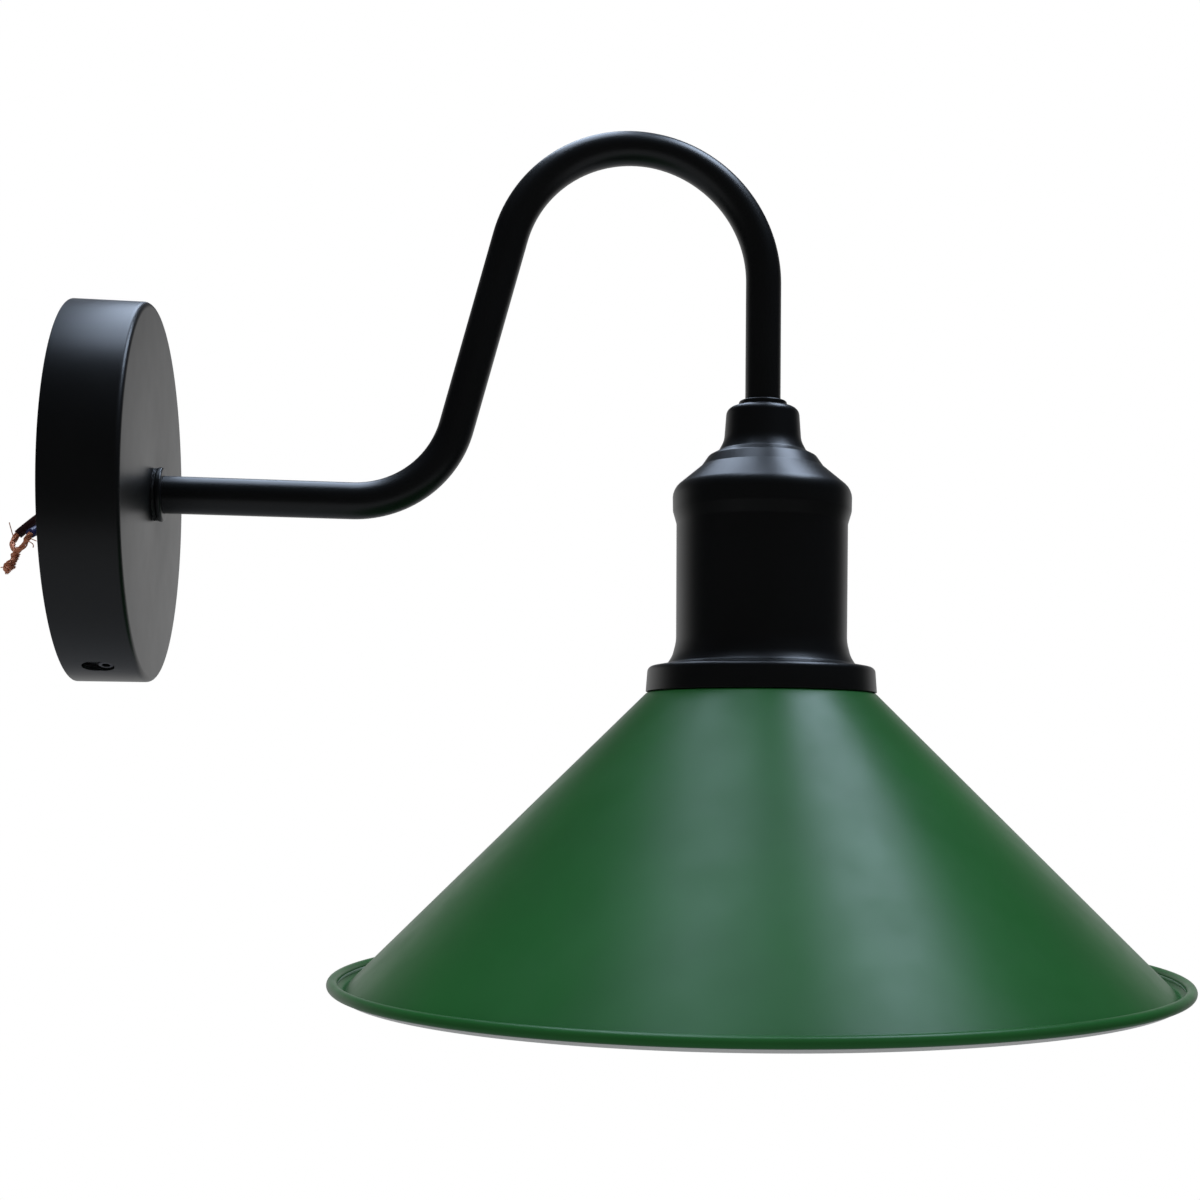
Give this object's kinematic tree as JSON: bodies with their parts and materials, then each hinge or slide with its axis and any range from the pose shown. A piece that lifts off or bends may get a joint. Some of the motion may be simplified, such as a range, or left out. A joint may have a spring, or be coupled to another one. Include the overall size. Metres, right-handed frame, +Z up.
{
  "type": "gooseneck wall light",
  "caption": "Wall light with a round canopy, a bent gooseneck tube, a bell-shaped lampholder cover and a wide conical metal shade facing down.",
  "frame": {"origin": "centre of the canopy's back rim on the wall, which is also the centre of the wall holes", "axes": "+X out of the wall along the arm's first leg, +Z up, the arm in the plane Y = 0"},
  "size_m": [0.3195, 0.2354, 0.2392],
  "materials": {
    "black_powder_coat": "satin",
    "green_enamel": "satin",
    "black_rubber": "matte",
    "zinc_steel": "satin",
    "dark_steel": "satin",
    "bush_plastic": "matte",
    "brown_insulation": "satin",
    "blue_insulation": "satin",
    "bare_copper": "bright copper",
    "holder_plastic": "satin",
    "white_ceramic": "glazed ceramic",
    "contact_brass": "satin",
    "shell_nickel": "bright nickel"
  },
  "bodies": {
    "wall_bracket": {"wall_strap": "zinc_steel", "strap_grub_screws": "dark_steel", "earth_screw": "zinc_steel", "earth_washer": "zinc_steel"},
    "lamp_body": {"canopy": "black_powder_coat", "canopy_gasket": "black_rubber", "canopy_collar": "black_powder_coat", "canopy_lock_washer": "zinc_steel", "canopy_nut": "zinc_steel", "arm_tube": "black_powder_coat", "cable_bush": "bush_plastic", "live_core": "brown_insulation", "neutral_core": "blue_insulation", "live_lead": "brown_insulation", "neutral_lead": "blue_insulation", "live_strands": "bare_copper", "neutral_strands": "bare_copper", "head_collar": "black_powder_coat", "bell_cover": "black_powder_coat", "cover_lock_washer": "zinc_steel", "cover_nut": "zinc_steel", "holder_dome": "holder_plastic", "dome_set_screw": "dark_steel", "holder_core": "white_ceramic", "terminal_blocks": "contact_brass", "terminal_screws": "zinc_steel", "side_contact": "contact_brass", "centre_strip": "contact_brass", "screw_shell": "shell_nickel", "core_rivets": "contact_brass", "holder_skirt": "holder_plastic"},
    "shade": {"shade": "green_enamel"},
    "shade_ring": {"shade_ring": "holder_plastic"},
    "contact_leaf": {"centre_contact": "contact_brass"}
  },
  "joints": [
    {"name": "canopy_slide", "type": "slide", "parent": "wall_bracket", "child": "lamp_body", "axis": [1, 0, 0], "range_m": [0, 0.0039]},
    {"name": "shade_drop", "type": "slide", "parent": "lamp_body", "child": "shade", "axis": [0, 0, -1], "range_m": [0, 0.0075]},
    {"name": "ring_turn", "type": "hinge", "parent": "shade", "child": "shade_ring", "pos_m": [0.18373, 0, -0.055], "axis": [0, 0, -1], "range_deg": [0, 1080]},
    {"name": "contact_flex", "type": "hinge", "parent": "lamp_body", "child": "contact_leaf", "pos_m": [0.19173, 0, -0.031], "axis": [0, 1, 0], "range_deg": [0, 12], "stiffness_Nm_per_rad": 0.02}
  ],
  "couplings": [
    {"joint": "shade_drop", "follows": "ring_turn", "m_per_rad": 0.00039788}
  ]
}
